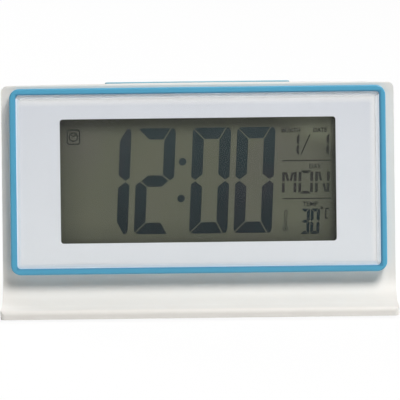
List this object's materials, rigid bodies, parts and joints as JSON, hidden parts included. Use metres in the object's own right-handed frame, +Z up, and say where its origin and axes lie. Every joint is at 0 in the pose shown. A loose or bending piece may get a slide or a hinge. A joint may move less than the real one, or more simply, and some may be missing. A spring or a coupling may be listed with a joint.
{
  "type": "digital alarm clock",
  "caption": "Desk alarm clock with a leaning display in a coloured frame, a swept foot, a snooze bar on top, and rear keys, slide switch and battery bay.",
  "frame": {"origin": "under the middle of the clock, on the surface that its pads stand on", "axes": "+X to the right as seen from the front, front faces -Y, +Z up"},
  "size_m": [0.146, 0.0492, 0.0837],
  "materials": {
    "white_shell": "fine satin moulded plastic",
    "blue_trim": "satin blue moulded plastic",
    "key_blue": "satin blue moulded plastic",
    "lens_clear": "clear polished acrylic",
    "white_print": "white print on film",
    "pad_rubber": "matt rubber",
    "screw_steel": "zinc-plated steel",
    "polariser_film": "grey-green satin film",
    "display_glass": "clear glass",
    "guide_white": "white moulded plastic",
    "led_yellow": "clear yellow resin",
    "strip_rubber": "silicone rubber",
    "board_green": "green solder mask",
    "resin_black": "black plastic and resin",
    "switch_grey": "grey plastic",
    "can_metal": "bright metal case",
    "sensor_amber": "amber bead",
    "contact_nickel": "nickel-plated steel",
    "cell_grey": "plain printed sleeve",
    "lead_red": "soft insulation"
  },
  "bodies": {
    "clock": {"front_housing": "white_shell", "rear_cover": "white_shell", "bezel_frame": "blue_trim", "display_lens": "lens_clear", "lens_print": "white_print", "rubber_feet": "pad_rubber", "cover_screws": "screw_steel", "carrier_screws": "screw_steel", "key_board_screws": "screw_steel", "front_polariser": "polariser_film", "rear_polariser": "polariser_film", "front_glass": "display_glass", "rear_glass": "display_glass", "light_guide": "guide_white", "display_carrier": "guide_white", "backlight_leds": "led_yellow", "contact_strip": "strip_rubber", "main_board": "board_green", "key_board": "board_green", "clock_chip": "resin_black", "piezo_buzzer": "resin_black", "board_link": "resin_black", "snooze_switch": "switch_grey", "key_switches": "switch_grey", "quartz_crystal": "can_metal", "slide_switch": "can_metal", "temperature_sensor": "sensor_amber", "spring_contacts": "contact_nickel", "flat_contacts": "contact_nickel", "battery_cells": "cell_grey", "battery_leads": "lead_red"},
    "snooze": {"snooze_bar": "blue_trim"},
    "set_button": {"set_key": "key_blue"},
    "alarm_button": {"alarm_key": "key_blue"},
    "up_button": {"up_key": "key_blue"},
    "down_button": {"down_key": "key_blue"},
    "slide_button": {"slide_knob": "key_blue", "slide_lever": "resin_black"},
    "door": {"battery_door": "white_shell"}
  },
  "joints": [
    {"name": "snooze_press", "type": "slide", "parent": "clock", "child": "snooze", "axis": [0, -0.1736, -0.9848], "range_m": [0, 0.0005], "stiffness_N_per_m": 1500, "springref_m": -0.0004},
    {"name": "set_press", "type": "slide", "parent": "clock", "child": "set_button", "axis": [0, -1, 0], "range_m": [0, 0.0008], "stiffness_N_per_m": 1000, "springref_m": -0.0004},
    {"name": "alarm_press", "type": "slide", "parent": "clock", "child": "alarm_button", "axis": [0, -1, 0], "range_m": [0, 0.0008], "stiffness_N_per_m": 1000, "springref_m": -0.0004},
    {"name": "up_press", "type": "slide", "parent": "clock", "child": "up_button", "axis": [0, -1, 0], "range_m": [0, 0.0008], "stiffness_N_per_m": 1000, "springref_m": -0.0004},
    {"name": "down_press", "type": "slide", "parent": "clock", "child": "down_button", "axis": [0, -1, 0], "range_m": [0, 0.0008], "stiffness_N_per_m": 1000, "springref_m": -0.0004},
    {"name": "slide_move", "type": "slide", "parent": "clock", "child": "slide_button", "axis": [1, 0, 0], "range_m": [0, 0.0025]},
    {"name": "door_tip", "type": "hinge", "parent": "clock", "child": "door", "pos_m": [0, 0.02248, 0.0056], "axis": [-1, 0, 0], "range_deg": [0, 75]}
  ]
}
